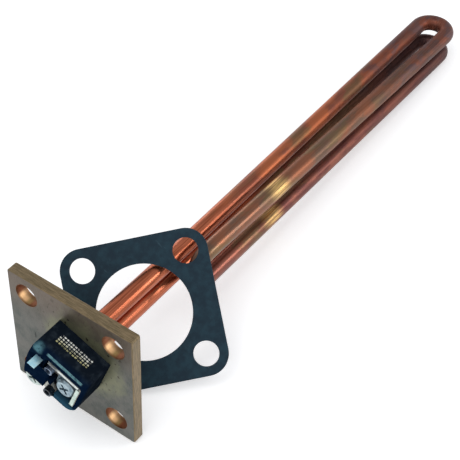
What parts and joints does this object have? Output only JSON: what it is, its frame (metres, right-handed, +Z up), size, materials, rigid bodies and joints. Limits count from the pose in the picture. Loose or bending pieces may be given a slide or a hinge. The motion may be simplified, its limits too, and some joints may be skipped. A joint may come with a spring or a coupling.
{
  "type": "booster heating element",
  "caption": "Immersion heater: a copper-sheathed tube folded into two hairpins on a square brass flange, with a moulded terminal block and a loose rubber gasket.",
  "frame": {"origin": "centre of the bolt pattern on the flange's sealing face", "axes": "+X along the element into the tank, +Z up, along the line through the two legs, +Y to the left when looking along +X"},
  "size_m": [0.3128, 0.0759, 0.0636],
  "materials": {
    "brass_plate": "tarnished, dull grey-brown",
    "gasket_rubber": "matt blue-black with scuffs",
    "copper_sheath": "copper, bright where rubbed and heat-tinted brown to purple at the far end",
    "magnesia": "packed powder",
    "coil_wire": "drawn resistance wire",
    "pin_steel": "nickel plated",
    "seal_compound": "cast sealing compound",
    "braze_metal": "silver braze, dull",
    "block_phenolic": "glossy blue-black moulding",
    "terminal_plate": "plated, worn to copper in places",
    "plated_steel": "bright zinc plated",
    "sleeve_metal": "bright plated"
  },
  "bodies": {
    "root": {"flange_plate": "brass_plate", "flange_gasket": "gasket_rubber", "heater_sheath": "copper_sheath", "magnesia_fill": "magnesia", "resistance_coil": "coil_wire", "cold_pin_upper": "pin_steel", "cold_pin_lower": "pin_steel", "end_seal_upper": "seal_compound", "end_seal_lower": "seal_compound", "braze_ring_upper": "braze_metal", "braze_ring_lower": "braze_metal", "terminal_block": "block_phenolic", "terminal_plate_right": "terminal_plate", "terminal_plate_left": "terminal_plate", "terminal_screw_right": "plated_steel", "terminal_screw_left": "plated_steel", "clamp_washer_right": "plated_steel", "clamp_washer_left": "plated_steel", "terminal_nut_right": "plated_steel", "terminal_nut_left": "plated_steel", "pin_sleeve_upper": "sleeve_metal", "pin_sleeve_lower": "sleeve_metal"}
  },
  "joints": []
}
